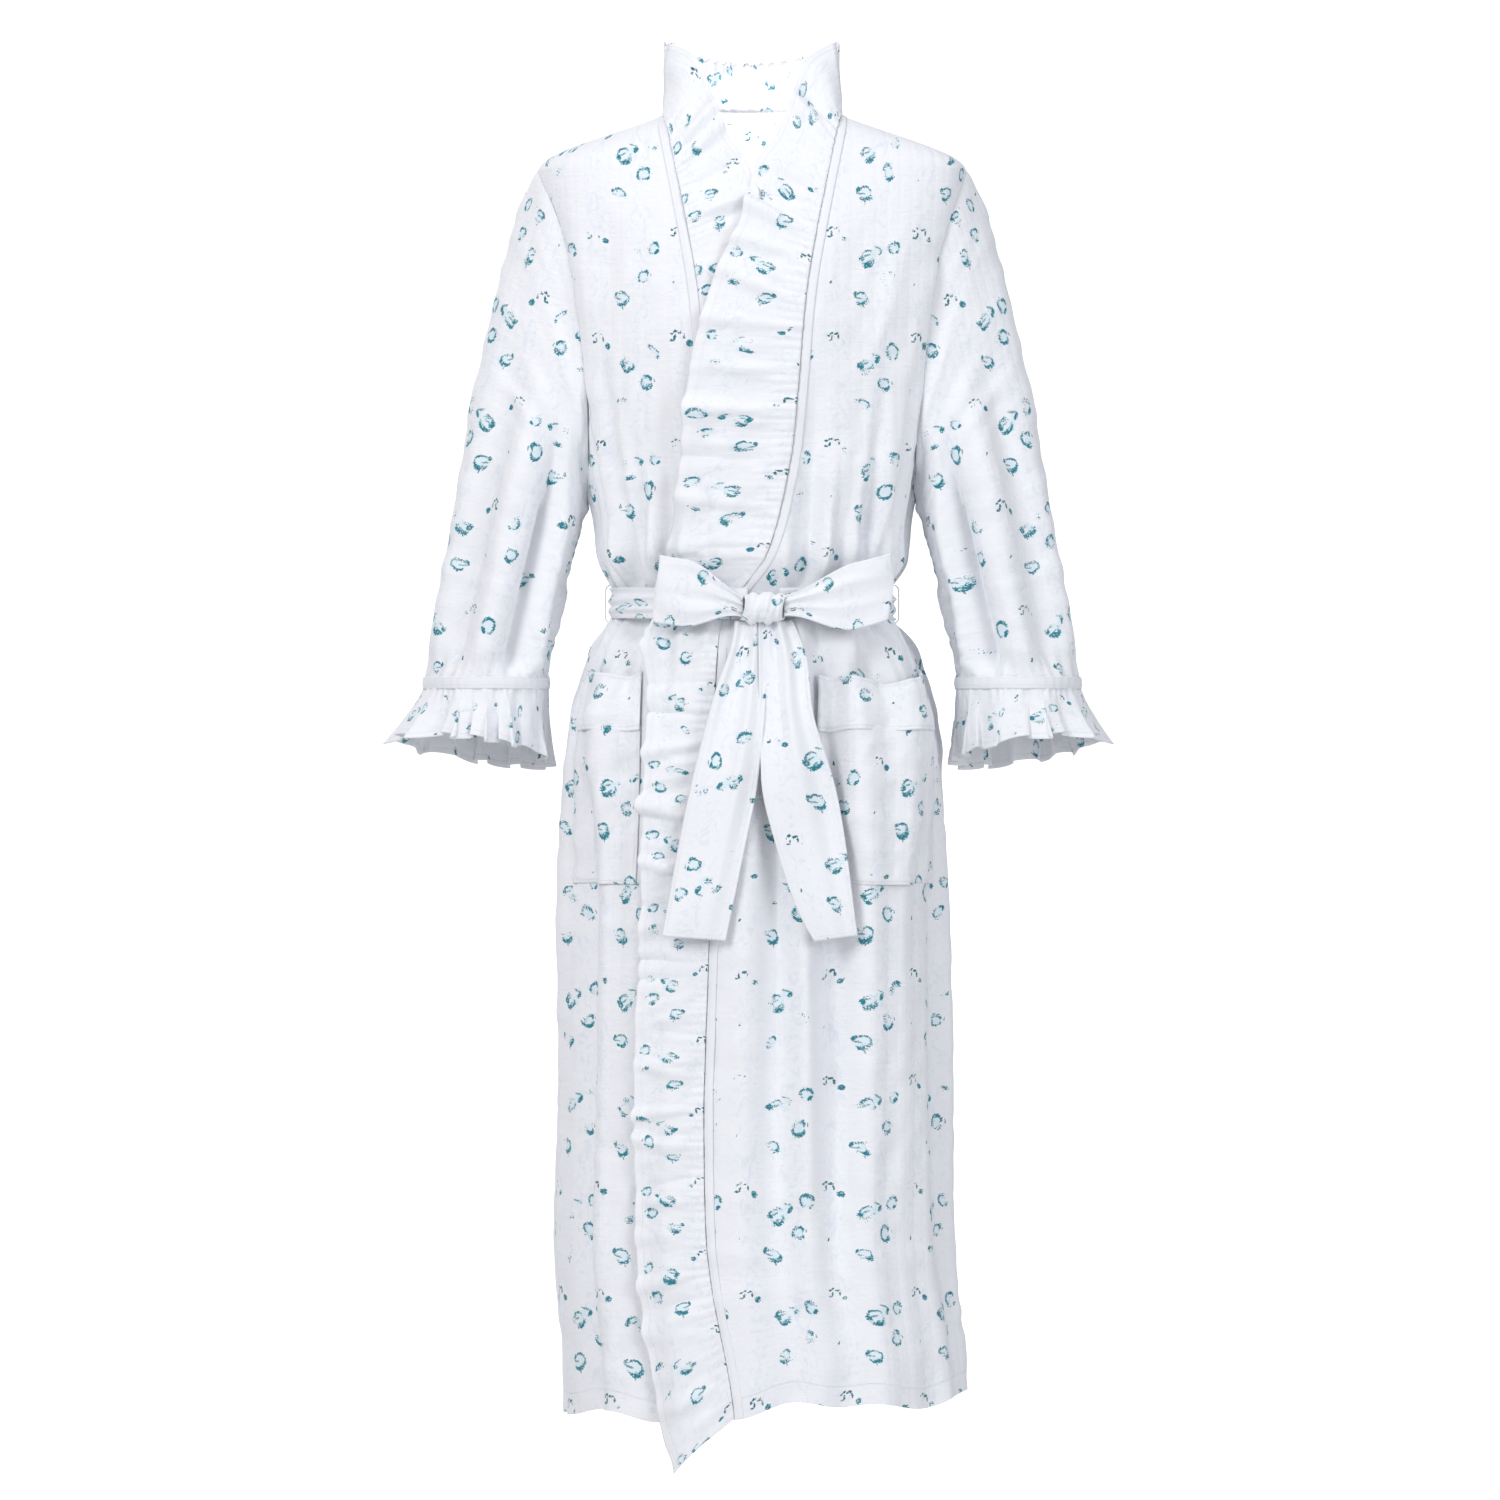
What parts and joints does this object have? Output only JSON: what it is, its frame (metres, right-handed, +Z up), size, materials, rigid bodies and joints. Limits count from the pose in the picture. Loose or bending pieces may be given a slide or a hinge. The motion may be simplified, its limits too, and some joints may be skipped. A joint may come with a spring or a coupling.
{
  "type": "patient gown",
  "caption": "Wrap-front cloth gown with ruffled collar and front edge, short wide sleeves with gathered cuffs, patch pockets and a tied sash, hanging as worn.",
  "frame": {"origin": "middle of the neck base, level with the neck points of the shoulder seams", "axes": "+Z up along the body, -Y out of the front, +X towards the wearer's left"},
  "size_m": [0.6402, 0.3105, 1.2784],
  "materials": {
    "printed_cloth": "matte",
    "ruffle_cloth": "matte",
    "sash_cloth": "matte",
    "binding_cloth": "matte"
  },
  "bodies": {
    "gown": {"back_panel": "printed_cloth", "right_front": "printed_cloth", "left_front": "printed_cloth", "right_ruffle": "ruffle_cloth", "left_ruffle": "ruffle_cloth", "back_collar": "ruffle_cloth", "neck_binding": "binding_cloth", "right_binding": "binding_cloth", "left_binding": "binding_cloth", "right_pocket": "printed_cloth", "left_pocket": "printed_cloth", "right_pocket_band": "printed_cloth", "left_pocket_band": "printed_cloth", "sash_waist": "sash_cloth", "sash_knot": "sash_cloth", "right_belt_loop": "binding_cloth", "left_belt_loop": "binding_cloth", "hanger_loop": "binding_cloth"},
    "corner": {"corner_panel": "printed_cloth", "corner_ruffle": "ruffle_cloth"},
    "sleeve_right": {"right_sleeve": "printed_cloth", "right_cuff_band": "binding_cloth", "right_cuff_ruffle": "ruffle_cloth"},
    "sleeve_left": {"left_sleeve": "printed_cloth", "left_cuff_band": "binding_cloth", "left_cuff_ruffle": "ruffle_cloth"},
    "loop_right": {"right_bow_loop": "sash_cloth"},
    "loop_left": {"left_bow_loop": "sash_cloth"},
    "tail_right": {"right_sash_tail": "sash_cloth"},
    "tail_left": {"left_sash_tail": "sash_cloth"}
  },
  "joints": [
    {"name": "right_sleeve_lift", "type": "hinge", "parent": "gown", "child": "sleeve_right", "pos_m": [-0.19, 0, -0.044], "axis": [0, 1, 0], "range_deg": [0, 15]},
    {"name": "left_sleeve_lift", "type": "hinge", "parent": "gown", "child": "sleeve_left", "pos_m": [0.19, 0, -0.044], "axis": [0, -1, 0], "range_deg": [0, 15]},
    {"name": "right_loop_swing", "type": "hinge", "parent": "gown", "child": "loop_right", "pos_m": [-0.015, -0.116, -0.443], "axis": [0, 0, 1], "range_deg": [0, 30]},
    {"name": "left_loop_swing", "type": "hinge", "parent": "gown", "child": "loop_left", "pos_m": [0.035, -0.116, -0.443], "axis": [0, 0, -1], "range_deg": [0, 30]},
    {"name": "right_tail_swing", "type": "hinge", "parent": "gown", "child": "tail_right", "pos_m": [-0.005, -0.117, -0.462], "axis": [-1, 0, 0], "range_deg": [0, 50]},
    {"name": "left_tail_swing", "type": "hinge", "parent": "gown", "child": "tail_left", "pos_m": [0.02, -0.117, -0.462], "axis": [-1, 0, 0], "range_deg": [0, 50]},
    {"name": "corner_fold", "type": "hinge", "parent": "gown", "child": "corner", "pos_m": [0, -0.153, -0.98], "axis": [-0.4472, 0, 0.8944], "range_deg": [0, 50]}
  ]
}
